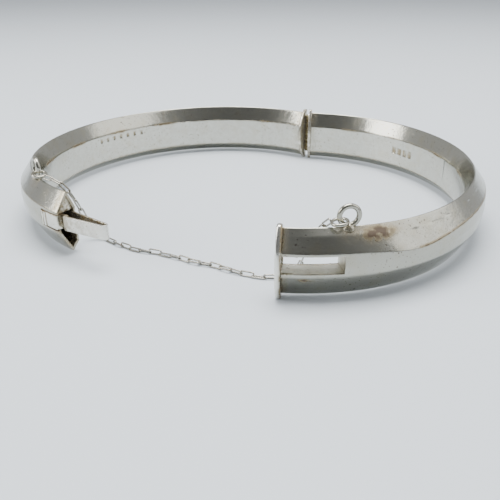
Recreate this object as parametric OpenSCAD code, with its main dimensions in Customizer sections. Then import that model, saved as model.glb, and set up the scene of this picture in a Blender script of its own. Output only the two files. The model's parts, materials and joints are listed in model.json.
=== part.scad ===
// Hinged oval bangle with a box-and-tongue clasp and a safety chain.
// Each half of the hollow band is an outer shell with a separate inner lining.
// Millimetres, +Z up. The origin is on the floor, at the middle of the oval that the closed band makes.
// The hinge is at +Y and the clasp at -Y. The catch half is on +X and the tongue half on -X.
// The tongue half is modelled closed, and then turned open about the hinge pin.

/* [Band] */
// Height of the band
band_h = 10; // [9.5:0.1:10.5]
// Length of the oval along its sharp rims, from hinge to clasp
edge_l = 64.4; // [62:0.2:67]
// Radius of the oval's arcs at the hinge and at the clasp
end_r = 28.3; // [27.5:0.1:29]
// How far the outer face stands out from the rims
bulge_out = 2.1; // [2:0.05:2.3]
// How far the inner face stands in from the rims
bulge_in = 1.3; // [1.2:0.05:1.5]
// Thickness of the sheet
sheet = 0.4; // [0.3:0.05:0.45]
// Angle that the tongue half stands open
open_angle = 29.5; // [20:0.5:40]

/* [Hinge] */
// Distance of the pin outside the rims
pin_out = 1.4; // [1.35:0.05:1.45]
// Diameter of the hinge pin
pin_d = 0.6; // [0.5:0.05:0.7]
// Outside diameter of the knuckles
knuckle_d = 1.5; // [1.4:0.05:1.5]
// Length of one knuckle
knuckle_l = 1.6; // [1.4:0.05:1.65]
// Thickness of the two hinge plates
hinge_plate_t = 0.6; // [0.5:0.05:0.7]

/* [Clasp] */
// Thickness of the mouth plate
mouth_plate_t = 0.8; // [0.7:0.05:1]
// Height of the mouth and of the long window behind it
mouth_h = 2.6; // [2.4:0.05:2.7]
// Height of the middle of the mouth above the lower rim
mouth_mid = 5.3; // [5.2:0.05:5.4]
// Length of the tongue outside the band
tongue_l = 8.3; // [7.8:0.1:8.4]
// Height of the tongue
tongue_h = 2.3; // [2:0.05:2.3]
// Thickness of the two leaves of the tongue
leaf_t = 0.3; // [0.25:0.05:0.3]
// Length of the notch for the thumb piece
notch_l = 4.2; // [4:0.1:4.5]

/* [Rings and chain] */
// Angle of each eye from the clasp, about the centre of the oval's end
eye_angle = 19; // [18.5:0.5:21]
// Outside diameter of an eye
eye_d = 3.4; // [3.3:0.05:3.5]
// Wire diameter of an eye
eye_wire = 0.7; // [0.6:0.05:0.7]
// Outside diameter of a jump ring
ring_d = 2.55; // [2.5:0.05:2.6]
// Wire diameter of a jump ring
ring_wire = 0.45; // [0.4:0.05:0.5]
// Outside width of the chain
chain_w = 0.9; // [0.7:0.05:1]

/* [Hidden] */
$fn = 96;
lift = 0.4;                        // the plates stand this far below the rims
gap = 0.1;                         // space between the two halves when closed
half_l = edge_l / 2;
reach = 40;                        // long enough for a cutter to clear the band

// The oval: an arc at each end and a flatter one on each side, meeting tangentially.
// The joins lie in the directions of a 3-4-5 triangle, so that the arcs' centres are round numbers.
end_y = half_l - end_r;
end_angle = atan2(4, 3);
side_x = -end_y * 4 / 3;
side_r = end_r + end_y * 5 / 3;
side_half_angle = 90 - end_angle;

// Heights in the section, above the lower rim
outer_crease = 7;
middle = 5.3;
lower_crease = 3.6;
seam_top = 7;
seam_low = 1.5;
belly = 0.15;                      // the middle of the outer face stands this much further out

// The section, as [distance outside the rims, height], clockwise from the top rim
section = [
    [0, band_h],
    [bulge_out, outer_crease],
    [bulge_out + belly, middle],
    [bulge_out, lower_crease],
    [0, 0],
    [-bulge_in, seam_low],
    [-bulge_in, seam_top],
];

// Plates at the hinge and at the mouth: a pointed oval with its ends cut off
plate_half_w = 2.3;
plate_point = 6;
plate_r = (plate_point * plate_point + plate_half_w * plate_half_w) / (2 * plate_half_w);
plate_top = band_h + 0.45;
plate_mid_u = (bulge_out - bulge_in) / 2;

// Hinge
pin = [0, half_l + pin_out];
pin_r = pin_d / 2;
knuckle_r = knuckle_d / 2;
relief_r = knuckle_r + 0.1;        // hollow around the knuckles in plates and shells
running = 0.03;                    // play of the pin in the moving knuckles
knuckle_n = 5;
stack_low = band_h / 2 - knuckle_n * knuckle_l / 2;
pin_head = 0.35;
plate_clear = 0.15;                // the hinge plates end this far inside the pin's axis

// Clasp, in the plan of the closed clasp: x along the band, u outside the rims
mouth_in = -1.0;
mouth_out = 1.3;
pocket_out = 1.75;                 // room for the leaf's shoulder, behind the lip
lip_t = 0.4;
catch_start = gap / 2 + mouth_plate_t;
tongue_start = gap / 2;
window_end = tongue_l + 0.2;
wall_t = 0.4;
fold_r = 0.6;                      // outside of the fold at the tongue's tip
fold_x = tongue_l - fold_r;
fold_u = -0.3;
bead_r = fold_r - leaf_t - 0.04;
shoulder_x = gap / 2 + lip_t + 0.1;
shoulder_u = 1.5;
neck_u = 1.1;
neck_t = 0.4;
neck_x = -0.3;
shoulder_t = 0.35;
blade_root = -2;
thumb_h = tongue_h;
thumb_in = 0.75;
thumb_end = notch_l - 0.15;
rib_r = 0.22;
rib_places = [0.78, 0.93];         // as shares of the thumb piece's length
web_back = 0.35;                   // the end web stands this far inside the open end
web_low = 6.65;

// Eyes and rings, in a frame at the eye: x towards the clasp, y outward, z up
eye_lift = 1.35;
eye_mid_r = (eye_d - eye_wire) / 2;
fillet_low = -0.5;
fillet_top = 0.3;
fillet_r = 0.9;
ring_mid_r = (ring_d - ring_wire) / 2;
ring_x = 1.23;
ring_z = -0.81;
ring_tilt = 8;

// Blank punches in the linings
punch_depth = 0.1;
catch_punches = [for (i = [0:3]) 38 + 3 * i];      // about the centre of the hinge-end arc
catch_punch_z = 4.6;
catch_punch_size = 1.3;
tongue_punches = [for (i = [0:6]) -4 + 3 * i];     // about the centre of the side arc
tongue_punch_z = 6;
tongue_punch_size = 0.7;

// The chain's route: down inside the tongue half, across the floor and up inside the catch half
chain_route = [
    [-37.47, -19.4, 10.75], [-35.4, -20.2, 10.5], [-33.9, -20.2, 9.2], [-33.0, -19.5, 7.0],
    [-32.2, -18.9, 4.4],
    [-31.4, -18.3, 1.9], [-29.9, -18.0, 0.7],
    [-28, -19, 0.5], [-25.5, -20.5, 0.5], [-23, -21.5, 0.5], [-20.5, -22, 0.5], [-18, -22.5, 0.5],
    [-15.5, -23.5, 0.5], [-13, -24.5, 0.5], [-10.5, -25, 0.5], [-8, -26, 0.5], [-5.5, -27, 0.5],
    [-3, -27.5, 0.5], [-1, -27.5, 0.5], [0.5, -27, 0.5],
    [1.6, -25.8, 0.6],
    [2.5, -25.7, 1.0], [3.0, -26.4, 2.4], [3.6, -27.2, 4.3], [4.5, -28.2, 6.6], [5.4, -29.5, 9.1],
    [6.51, -30.98, 10.75],
];

// ---- plane shapes ----

// Where two lines meet, each given by a point and a direction
function crossing(p, d, q, e) = p + d * ((q - p) * [e[1], -e[0]]) / (d * [e[1], -e[0]]);

// Direction of the polygon's edge i, and a point on that edge moved inward by d
function edge(pts, i) = let (n = len(pts), v = pts[(i + 1) % n] - pts[i % n]) v / norm(v);
function edge_point(pts, i, d) = let (v = edge(pts, i)) pts[i % len(pts)] + d * [v[1], -v[0]];

// A clockwise polygon with every edge moved inward by d
function inset(pts, d) = [
    for (i = [0:len(pts) - 1]) let (before = i + len(pts) - 1)
        crossing(edge_point(pts, before, d), edge(pts, before), edge_point(pts, i, d), edge(pts, i))
];

module lining_profile() {
    translate([-bulge_in, seam_low]) square([sheet, seam_top - seam_low]);
}

module shell_profile() {
    difference() {
        polygon(section);
        polygon(inset(section, sheet));
        lining_profile();
    }
}

module cavity_profile(low, high) {
    intersection() {
        polygon(inset(section, sheet));
        translate([-bulge_in, low]) square([bulge_in + bulge_out + belly, high - low]);
    }
}

module plate_profile() {
    intersection() {
        plate_arc(1);
        plate_arc(-1);
        translate([-reach, -lift]) square([2 * reach, plate_top + lift]);
    }
}

module plate_arc(side) {
    translate([plate_mid_u + side * (plate_half_w - plate_r), band_h / 2]) circle(r = plate_r);
}

// ---- placing ----

// One arc of the band, swept from a profile drawn as [distance outside the rims, height]
module arc(centre, r, from, turn) {
    translate([centre[0], centre[1], lift])
        rotate([0, 0, from])
            rotate_extrude(angle = turn) translate([r, 0]) children();
}

// Half of the band, from the hinge plate's back to a straight end at x = start
module half_band(start) {
    difference() {
        union() {
            for (flip = [0, 1]) mirror([0, flip, 0]) arc([0, end_y], end_r, 90 - end_angle, end_angle) children();
            arc([side_x, 0], side_r, -side_half_angle, 2 * side_half_angle) children();
        }
        end_cut(1, gap / 2 + hinge_plate_t);
        end_cut(-1, start);
        relief();
    }
}

// Takes the band away up to x = limit, at the hinge (side 1) or at the clasp (side -1)
module end_cut(side, limit) {
    translate([-reach + limit, side > 0 ? 0 : -2 * reach, -1]) cube([reach, 2 * reach, band_h + 4]);
}

module relief() {
    translate([pin[0], pin[1], -1]) cylinder(r = relief_r, h = band_h + 4);
}

// The tongue half is drawn closed on +X, mirrored, and turned open about the pin
module tongue_side() {
    translate([pin[0], pin[1], 0])
        rotate([0, 0, -open_angle])
            translate([-pin[0], -pin[1], 0])
                children();
}

module mirrored() {
    mirror([1, 0, 0]) children();
}

// A plate standing across the band, drawn as [distance outside the rims, height], from x to x + t
module across(side, x, t) {
    translate([x, side * half_l, lift])
        rotate([0, 0, side * 90])
            translate([0, side > 0 ? 0 : t, 0])
                rotate([90, 0, 0])
                    linear_extrude(height = t)
                        children();
}

// A solid drawn in the clasp's plan as [x, u], from height z to z + h
module in_plan(z, h) {
    translate([0, -half_l, lift + z]) mirror([0, 1, 0]) linear_extrude(height = h) children();
}

module clasp_block(x0, x1, u0, u1, h) {
    in_plan(mouth_mid - h / 2, h) translate([x0, u0]) square([x1 - x0, u1 - u0]);
}

module at_eye() {
    translate([0, -end_y, lift + band_h + eye_lift])
        rotate([0, 0, eye_angle - 90])
            translate([end_r, 0, 0])
                rotate([0, 0, -90])
                    children();
}

// ---- shared solids ----

module hinge_plate() {
    difference() {
        across(1, gap / 2, hinge_plate_t) plate_profile();
        relief();
        translate([-1, pin[1] - plate_clear, -1]) cube([3, reach, band_h + 4]);
    }
}

// One knuckle, with the solder that fills the hollow on its own side
module knuckle(i, bore_r) {
    translate([pin[0], pin[1], lift + stack_low + i * knuckle_l]) {
        difference() {
            union() {
                cylinder(r = knuckle_r, h = knuckle_l);
                intersection() {
                    cylinder(r = relief_r, h = knuckle_l);
                    translate([gap / 2 + hinge_plate_t / 2, -2, 0]) cube([2, 4, knuckle_l]);
                }
            }
            translate([0, 0, -1]) cylinder(r = bore_r, h = knuckle_l + 2);
        }
    }
}

module eye() {
    at_eye() {
        rotate([90, 0, 0]) rotate_extrude() translate([eye_mid_r, 0]) circle(d = eye_wire);
        translate([0, 0, -eye_lift + fillet_low])
            cylinder(r1 = fillet_r, r2 = eye_wire / 2, h = fillet_top - fillet_low);
    }
}

module jump_ring() {
    at_eye()
        translate([ring_x, 0, ring_z])
            rotate([0, ring_tilt, 0])
                rotate_extrude() translate([ring_mid_r, 0]) circle(d = ring_wire);
}

// ---- catch half ----

module catch_shell() {
    color("gainsboro") difference() {
        half_band(catch_start) shell_profile();
        clasp_block(0, window_end, -4, 4, mouth_h);
    }
}

module catch_lining() {
    color("silver") difference() {
        half_band(catch_start) lining_profile();
        clasp_block(0, window_end, -4, 4, mouth_h);
        for (angle = catch_punches) punch([0, end_y], end_r, angle, catch_punch_z, catch_punch_size);
    }
}

// A blank rectangular mark pressed into the lining, on the arc with this centre and radius
module punch(centre, r, angle, z, size) {
    translate([centre[0], centre[1], lift + z])
        rotate([0, 0, angle])
            translate([r - bulge_in - 1, -0.4 * size, -size / 2])
                cube([1 + punch_depth, 0.8 * size, size]);
}

module catch_hinge_plate() {
    color("darkkhaki") hinge_plate();
}

module catch_knuckles() {
    color("peru") for (i = [0:2:knuckle_n - 1]) knuckle(i, pin_r);
}

module hinge_pin() {
    color("dimgray") translate([pin[0], pin[1], lift + stack_low - pin_head]) {
        cylinder(r = pin_r, h = knuckle_n * knuckle_l + 2 * pin_head);
        cylinder(r = knuckle_r - 0.15, h = pin_head);
        translate([0, 0, knuckle_n * knuckle_l + pin_head]) cylinder(r = knuckle_r - 0.15, h = pin_head);
    }
}

module mouth_plate() {
    color("whitesmoke") difference() {
        across(-1, gap / 2, mouth_plate_t) plate_profile();
        clasp_block(-1, 2, mouth_in, mouth_out, mouth_h);
        clasp_block(gap / 2 + lip_t, 2, mouth_in, pocket_out, mouth_h);
    }
}

module box_sheet(low) {
    intersection() {
        arc([0, -end_y], end_r, -90, end_angle) cavity_without_lining(low, low + wall_t);
        clasp_block(catch_start, window_end, -4, 4, band_h);
    }
}

module cavity_without_lining(low, high) {
    difference() {
        cavity_profile(low, high);
        lining_profile();
    }
}

module box_floor() {
    color("lightgray") box_sheet(mouth_mid - mouth_h / 2 - wall_t);
}

module box_roof() {
    color("lightgray") box_sheet(mouth_mid + mouth_h / 2);
}

module box_end_wall() {
    color("gray") intersection() {
        arc([0, -end_y], end_r, -90, end_angle)
            cavity_without_lining(mouth_mid - mouth_h / 2 - wall_t, mouth_mid + mouth_h / 2 + wall_t);
        clasp_block(window_end, window_end + wall_t, -4, 4, band_h);
    }
}

module catch_eye() {
    color("gainsboro") eye();
}

module catch_jump_ring() {
    color("silver") jump_ring();
}

// ---- tongue half ----

module tongue_shell() {
    color("gainsboro") tongue_side() mirrored() difference() {
        half_band(tongue_start) shell_profile();
        clasp_block(0, notch_l, 0, 4, mouth_h);
    }
}

module tongue_lining() {
    color("silver") tongue_side() mirrored() difference() {
        half_band(tongue_start) lining_profile();
        for (angle = tongue_punches) punch([side_x, 0], side_r, angle, tongue_punch_z, tongue_punch_size);
    }
}

module tongue_hinge_plate() {
    color("darkkhaki") tongue_side() mirrored() hinge_plate();
}

module tongue_knuckles() {
    color("peru") tongue_side() mirrored() for (i = [1:2:knuckle_n - 1]) knuckle(i, pin_r + running);
}

module tongue_end_web() {
    color("tan") tongue_side() mirrored() intersection() {
        arc([0, -end_y], end_r, -90, end_angle) cavity_without_lining(web_low, band_h);
        in_plan(0, band_h) translate([web_back, -4]) square([wall_t, 8]);
    }
}

// The inner leaf, from its root on the lining to the bead inside the fold
module tongue_blade() {
    color("silver") tongue_side() in_plan(mouth_mid - tongue_h / 2, tongue_h) {
        translate([blade_root, fold_u - fold_r]) square([fold_x - blade_root, leaf_t]);
        translate([fold_x, fold_u]) circle(r = bead_r);
        translate([fold_x - bead_r / 2, fold_u - fold_r + leaf_t / 2]) square([bead_r / 2, leaf_t]);
    }
}

// Slope of the outer leaf, as a line from the shoulder that touches the fold
leaf_run = [fold_x - shoulder_x, fold_u - shoulder_u];
leaf_slope = atan2(leaf_run[1], leaf_run[0]) + asin(fold_r / norm(leaf_run));
leaf_normal = [-sin(leaf_slope), cos(leaf_slope)];
fold_end = -68;
fold_steps = 14;
fold = [fold_x, fold_u];
shoulder = [shoulder_x, shoulder_u];
leaf_back = shoulder - leaf_t * leaf_normal;

// Points on an arc about the fold's centre, from one angle to another
function fold_arc(r, from, to) = [
    for (i = [0:fold_steps]) let (a = from + (to - from) * i / fold_steps) fold + r * [cos(a), sin(a)]
];

// The outer leaf: the neck under the lip, the shoulder behind it, and the wrap around the bead
module snap_leaf() {
    color("gainsboro") tongue_side() in_plan(mouth_mid - tongue_h / 2, tongue_h)
        polygon(concat(
            [[neck_x, neck_u], [shoulder_x, neck_u], shoulder],
            fold_arc(fold_r, 90 + leaf_slope, fold_end),
            fold_arc(fold_r - leaf_t, fold_end, 90 + leaf_slope),
            [
                leaf_back + shoulder_t * [cos(leaf_slope), sin(leaf_slope)],
                [shoulder_x + shoulder_t, neck_u - neck_t],
                [neck_x, neck_u - neck_t],
            ]
        ));
}

module thumb_piece() {
    color("whitesmoke") tongue_side() mirrored() {
        difference() {
            union() {
                arc([0, -end_y], end_r, -90, end_angle)
                    translate([thumb_in, mouth_mid - thumb_h / 2])
                        square([bulge_out - thumb_in, thumb_h]);
                for (share = rib_places)
                    translate([0, -end_y, lift + mouth_mid - thumb_h / 2])
                        rotate([0, 0, -90 + asin(share * thumb_end / end_r)])
                            translate([end_r + bulge_out, 0, 0]) cylinder(r = rib_r, h = thumb_h);
            }
            translate([thumb_end, -2 * reach, -1]) cube([2 * reach, 2 * reach, band_h + 4]);
            translate([-reach - neck_x, -2 * reach, -1]) cube([reach, 2 * reach, band_h + 4]);
        }
    }
}

module tongue_eye() {
    color("gainsboro") tongue_side() mirrored() eye();
}

module tongue_jump_ring() {
    color("silver") tongue_side() mirrored() jump_ring();
}

// ---- chain ----

// A ring of eight points around a route point, square to the route
function ring_at(i) =
    let (
        last = len(chain_route) - 1,
        along = chain_route[min(i + 1, last)] - chain_route[max(i - 1, 0)],
        side = cross(along, [0, 0.05, 1]) / norm(cross(along, [0, 0.05, 1])),
        up = cross(side, along) / norm(along)
    )
    [for (k = [0:7]) chain_route[i] + chain_w / 2 * (cos(45 * k) * side + sin(45 * k) * up)];

module safety_chain() {
    n = len(chain_route);
    color("silver") polyhedron(
        points = [for (i = [0:n - 1]) each ring_at(i)],
        faces = concat(
            [[for (k = [0:7]) k]],
            [for (i = [0:n - 2], k = [0:7])
                [8 * i + k, 8 * i + 8 + k, 8 * i + 8 + (k + 1) % 8, 8 * i + (k + 1) % 8]],
            [[for (k = [7:-1:0]) 8 * (n - 1) + k]]
        )
    );
}

catch_shell();
catch_lining();
catch_hinge_plate();
catch_knuckles();
hinge_pin();
mouth_plate();
box_floor();
box_roof();
box_end_wall();
catch_eye();
catch_jump_ring();
tongue_shell();
tongue_lining();
tongue_hinge_plate();
tongue_knuckles();
tongue_end_web();
tongue_blade();
snap_leaf();
thumb_piece();
tongue_eye();
tongue_jump_ring();
safety_chain();
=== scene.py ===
import json
from math import acos, asin, atan2, ceil, copysign, cos, exp, hypot, pi, radians, sin, sqrt

import bmesh
import bpy
from mathutils import Matrix, Vector, noise


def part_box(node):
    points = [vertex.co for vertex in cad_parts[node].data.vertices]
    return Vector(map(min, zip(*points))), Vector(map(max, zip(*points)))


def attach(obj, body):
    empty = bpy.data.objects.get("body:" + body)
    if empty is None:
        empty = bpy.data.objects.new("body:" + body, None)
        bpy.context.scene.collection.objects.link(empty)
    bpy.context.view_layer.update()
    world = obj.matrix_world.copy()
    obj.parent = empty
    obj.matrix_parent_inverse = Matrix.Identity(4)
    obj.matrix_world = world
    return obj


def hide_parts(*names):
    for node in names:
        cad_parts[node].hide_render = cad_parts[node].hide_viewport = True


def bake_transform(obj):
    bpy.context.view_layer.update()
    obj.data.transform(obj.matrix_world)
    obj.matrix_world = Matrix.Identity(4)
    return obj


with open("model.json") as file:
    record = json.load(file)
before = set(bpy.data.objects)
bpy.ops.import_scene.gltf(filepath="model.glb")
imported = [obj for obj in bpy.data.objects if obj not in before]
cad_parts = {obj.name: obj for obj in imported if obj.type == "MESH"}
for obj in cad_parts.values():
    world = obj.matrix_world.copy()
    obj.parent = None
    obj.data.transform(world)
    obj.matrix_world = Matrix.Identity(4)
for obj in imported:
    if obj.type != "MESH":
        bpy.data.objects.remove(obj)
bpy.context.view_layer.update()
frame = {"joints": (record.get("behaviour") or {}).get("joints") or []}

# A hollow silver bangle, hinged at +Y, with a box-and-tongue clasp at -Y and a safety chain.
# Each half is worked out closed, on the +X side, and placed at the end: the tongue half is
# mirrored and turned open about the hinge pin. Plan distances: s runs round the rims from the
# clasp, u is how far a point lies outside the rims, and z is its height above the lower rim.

MM = 0.001
joints = {joint["name"]: joint for joint in frame["joints"]}

# ---- sizes shared with the frame ----

shell_low, shell_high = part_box("catch_shell")
LIFT = shell_low.z
BAND_H = shell_high.z - LIFT
PIN = Vector(joints["bangle_hinge"]["pos_m"])
OPEN = radians(joints["bangle_hinge"]["range_deg"][1])
HALF_L = PIN.y - 1.4 * MM

END_R = 28.3 * MM                  # arcs at the hinge and at the clasp
END_Y = HALF_L - END_R
END_TURN = atan2(4, 3)             # how far each of them turns before the flatter side
SIDE_TURN = pi / 2 - END_TURN
SIDE_X = -END_Y * 4 / 3
SIDE_R = END_R + END_Y * 5 / 3
END_LENGTH = END_R * END_TURN
SIDE_LENGTH = 2 * SIDE_R * SIDE_TURN
HALF_ROUND = 2 * END_LENGTH + SIDE_LENGTH

BULGE_OUT = 2.1 * MM
BULGE_IN = 1.3 * MM
BELLY = 0.15 * MM
SHEET = 0.38 * MM
CREASE = 7.0 * MM
MIDDLE = 5.3 * MM
LOWER_CREASE = 3.6 * MM
SEAM_TOP = 7.0 * MM
SEAM_LOW = 1.5 * MM

GAP = 0.1 * MM
MOUTH_PLATE = 0.8 * MM
HINGE_PLATE = 0.6 * MM
MOUTH_H = 2.6 * MM
MOUTH_IN = -1.0 * MM
MOUTH_OUT = 1.3 * MM
POCKET_OUT = 1.75 * MM
LIP = 0.4 * MM
WINDOW_END = 8.5 * MM
NOTCH = 4.2 * MM
WALL = 0.4 * MM

PLATE_HALF_W = 2.3 * MM
PLATE_POINT = 6 * MM
PLATE_R = (PLATE_POINT ** 2 + PLATE_HALF_W ** 2) / (2 * PLATE_HALF_W)
PLATE_TOP = BAND_H + 0.45 * MM
PLATE_MID = (BULGE_OUT - BULGE_IN) / 2

KNUCKLE_R = 0.75 * MM
KNUCKLE_L = 1.6 * MM
KNUCKLES = 5
RELIEF_R = KNUCKLE_R + 0.1 * MM

EYE_ANGLE = radians(19)
EYE_LIFT = 1.35 * MM
CHAIN_W = 0.9 * MM


# ---- the band's plan ----

def station(s):
    """The point on the rims' oval s metres round from the clasp, and the outward direction there."""
    if s < END_LENGTH:
        angle = -pi / 2 + s / END_R
        centre, r = Vector((0, -END_Y)), END_R
    elif s < END_LENGTH + SIDE_LENGTH:
        angle = -SIDE_TURN + (s - END_LENGTH) / SIDE_R
        centre, r = Vector((SIDE_X, 0)), SIDE_R
    else:
        angle = SIDE_TURN + (s - END_LENGTH - SIDE_LENGTH) / END_R
        centre, r = Vector((0, END_Y)), END_R
    out = Vector((cos(angle), sin(angle)))
    return centre + r * out, out


def on_band(s, u, z):
    """The closed half's point at these plan distances."""
    point, out = station(s)
    x, y = point + u * out
    return Vector((x, y, LIFT + z))


def unroll(point):
    """The plan distances (s, u, z) of a point on the closed half."""
    x, y = point.x, point.y
    low = atan2(y + END_Y, x)
    high = atan2(y - END_Y, x)
    if low <= -SIDE_TURN:
        return (low + pi / 2) * END_R, hypot(x, y + END_Y) - END_R, point.z - LIFT
    if high >= SIDE_TURN:
        s = END_LENGTH + SIDE_LENGTH + (high - SIDE_TURN) * END_R
        return s, hypot(x, y - END_Y) - END_R, point.z - LIFT
    side = atan2(y, x - SIDE_X)
    return END_LENGTH + (side + SIDE_TURN) * SIDE_R, hypot(x - SIDE_X, y) - SIDE_R, point.z - LIFT


def s_at(x, u=0.0, side=-1):
    """How far round the band has the plan x, near the clasp (side -1) or near the hinge (side 1)."""
    s = END_R * asin(x / (END_R + u))
    return s if side < 0 else HALF_ROUND - s


CATCH = Matrix.Identity(4)
TONGUE = (
    Matrix.Translation(PIN)
    @ Matrix.Rotation(-OPEN, 4, "Z")
    @ Matrix.Translation(-PIN)
    @ Matrix.Diagonal((-1, 1, 1, 1))
)
EYE = (
    Matrix.Translation((0, -END_Y, LIFT + BAND_H + EYE_LIFT))
    @ Matrix.Rotation(EYE_ANGLE - pi / 2, 4, "Z")
    @ Matrix.Translation((END_R, 0, 0))
    @ Matrix.Rotation(-pi / 2, 4, "Z")
)
RING = EYE @ Matrix.Translation((1.23 * MM, 0, -0.81 * MM)) @ Matrix.Rotation(radians(8), 4, "Y")


# ---- mesh helpers ----

def smoothstep(low, high, value):
    t = min(max((value - low) / (high - low), 0), 1)
    return t * t * (3 - 2 * t)


def wobble(point, scale, seed=0.0):
    """Smooth noise from -1 to 1 with features of about this size."""
    return noise.noise(Vector(point) / scale + Vector((seed, seed, seed)))


def new_object(name, mesh):
    piece = bpy.data.objects.new(name, mesh)
    bpy.context.scene.collection.objects.link(piece)
    return piece


def mesh_from(name, points, faces):
    mesh = bpy.data.meshes.new(name)
    mesh.from_pydata([tuple(p) for p in points], [], faces)
    mesh.validate()
    return new_object(name, mesh)


def grid(name, rows, around=False, along=False, caps=False):
    """A sheet of quads over equally long rows of points. around closes each row, along the stack."""
    width, height = len(rows[0]), len(rows)
    points = [p for row in rows for p in row]
    faces = [
        (
            i * width + j,
            i * width + (j + 1) % width,
            (i + 1) % height * width + (j + 1) % width,
            (i + 1) % height * width + j,
        )
        for i in range(height if along else height - 1)
        for j in range(width if around else width - 1)
    ]
    if caps:
        faces.append(tuple(range(width)))
        faces.append(tuple((height - 1) * width + j for j in range(width)))
    return mesh_from(name, points, faces)


def rounded(corners, radii, closed=True, steps=5):
    """The corner points with each corner of a given radius turned into an arc."""
    made = []
    count = len(corners)
    for i, corner in enumerate(corners):
        here = Vector(corner)
        if radii[i] == 0 or (not closed and i in (0, count - 1)):
            made.append(here)
            continue
        before = (Vector(corners[i - 1]) - here).normalized()
        after = (Vector(corners[(i + 1) % count]) - here).normalized()
        half = acos(max(-1, min(1, before.dot(after)))) / 2
        reach = radii[i] / max(sin(half) / cos(half), 1e-6)
        middle = here + (before + after).normalized() * (radii[i] / sin(half))
        first, last = here + before * reach - middle, here + after * reach - middle
        turn = atan2(first.x * last.y - first.y * last.x, first.dot(last))
        for k in range(steps + 1):
            a = turn * k / steps
            turned = Vector((first.x * cos(a) - first.y * sin(a), first.x * sin(a) + first.y * cos(a)))
            made.append(middle + turned)
    return made


def dense(points, step):
    """The same line with no stretch longer than step."""
    made = []
    for a, b in zip(points, points[1:]):
        count = max(1, ceil((b - a).length / step))
        made += [a.lerp(b, k / count) for k in range(count)]
    return made + [points[-1]]


def stations(start, end, step):
    count = max(1, ceil((end - start) / step))
    return [start + (end - start) * i / count for i in range(count + 1)]


def sweep(name, profile, start, end, step=0.5 * MM, closed=True):
    """The profile(s) of [u, z] points carried round the band."""
    rows = [[on_band(s, u, z) for u, z in profile(s)] for s in stations(start, end, step)]
    return grid(name, rows, around=closed, caps=closed)


def prism(name, outline, axes, low, high):
    """A closed outline pushed from low to high. axes(a, b, h) gives the point."""
    count = len(outline)
    points = [axes(a, b, low) for a, b in outline] + [axes(a, b, high) for a, b in outline]
    sides = [(i, (i + 1) % count, count + (i + 1) % count, count + i) for i in range(count)]
    return mesh_from(name, points, sides + [tuple(range(count)), tuple(range(count, 2 * count))])


def plan_of_clasp(x, u, z):
    return Vector((x, -HALF_L - u, LIFT + z))


def across_clasp(u, z, x):
    return plan_of_clasp(x, u, z)


def across_hinge(u, z, x):
    return Vector((x, HALF_L + u, LIFT + z))


def box(name, lows, highs):
    """A block in the clasp's plan, from (x, u, z) to (x, u, z)."""
    (x0, u0, z0), (x1, u1, z1) = lows, highs
    return prism(name, [(x0, u0), (x1, u0), (x1, u1), (x0, u1)], plan_of_clasp, z0, z1)


def lathe(name, outline, matrix=Matrix.Identity(4), steps=40):
    """An outline of [radius, height] turned about the matrix's z."""
    rows = [
        [matrix @ Vector((r * cos(2 * pi * k / steps), r * sin(2 * pi * k / steps), z))
         for k in range(steps)]
        for r, z in outline
    ]
    return grid(name, rows, around=True, caps=True)


def hoop(name, major, minor, matrix, opening=0.0, around=80, sides=20):
    """A wire ring about the matrix's z, with a cut of this angle where a jump ring is closed."""
    turn = 2 * pi - opening
    count = around if opening == 0 else around + 1
    rows = [
        [
            matrix @ Vector((
                (major + minor * cos(2 * pi * j / sides)) * cos(opening / 2 + turn * i / around),
                (major + minor * cos(2 * pi * j / sides)) * sin(opening / 2 + turn * i / around),
                minor * sin(2 * pi * j / sides),
            ))
            for j in range(sides)
        ]
        for i in range(count)
    ]
    return grid(name, rows, around=True, along=opening == 0, caps=opening != 0)


def face_outward(piece):
    shape = bmesh.new()
    shape.from_mesh(piece.data)
    bmesh.ops.recalc_face_normals(shape, faces=shape.faces)
    shape.to_mesh(piece.data)
    shape.free()


def apply_modifiers(piece):
    evaluated = piece.evaluated_get(bpy.context.evaluated_depsgraph_get())
    mesh = bpy.data.meshes.new_from_object(evaluated)
    piece.modifiers.clear()
    piece.data = mesh


def cut(piece, cutter):
    face_outward(piece)
    face_outward(cutter)
    boolean = piece.modifiers.new("cut", "BOOLEAN")
    boolean.operation = "DIFFERENCE"
    boolean.object = cutter
    apply_modifiers(piece)
    bpy.data.objects.remove(cutter)


def soften(piece, width, segments=2, angle=45):
    """Rounds the sharp edges."""
    face_outward(piece)
    bevel = piece.modifiers.new("edges", "BEVEL")
    bevel.width = width
    bevel.segments = segments
    bevel.limit_method = "ANGLE"
    bevel.angle_limit = radians(angle)
    apply_modifiers(piece)


def paint(piece, tarnish_and_shade):
    """Stores, from its plan distances, how dark each point is painted: its tarnish, and painted shade in
    gaps and creases.
    """
    layer = piece.data.attributes.new("tarnish_and_shade", "FLOAT", "POINT")
    layer.data.foreach_set("value", [tarnish_and_shade(*unroll(v.co)) for v in piece.data.vertices])


def settle(piece, place, material, body, slot, *nodes, crisp=40):
    """Places a finished closed-half piece, gives it its material and hands it to its body."""
    piece.data.transform(place)
    face_outward(piece)
    piece.data.shade_smooth()
    piece.data.set_sharp_from_angle(angle=radians(crisp))
    piece.data.materials.clear()
    piece.data.materials.append(material)
    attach(piece, body)
    if nodes:
        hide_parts(*nodes)
    return piece


# ---- camera, first ----

LENS = 44.9                        # on a sensor 36 mm wide
CAMERA_PLACE = Vector((7.68, -105.9, 42.2)) * MM
CAMERA_ELEVATION = radians(25.48)
CAMERA_AZIMUTH = radians(8.6)


def make_camera():
    data = bpy.data.cameras.new("camera")
    data.lens = LENS
    data.sensor_width = 36
    data.clip_start = 0.005
    camera = bpy.data.objects.new("camera", data)
    camera.location = CAMERA_PLACE
    camera.rotation_euler = (radians(90) - CAMERA_ELEVATION, 0, CAMERA_AZIMUTH)
    bpy.context.scene.collection.objects.link(camera)
    bpy.context.scene.camera = camera


# ---- materials ----

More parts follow.
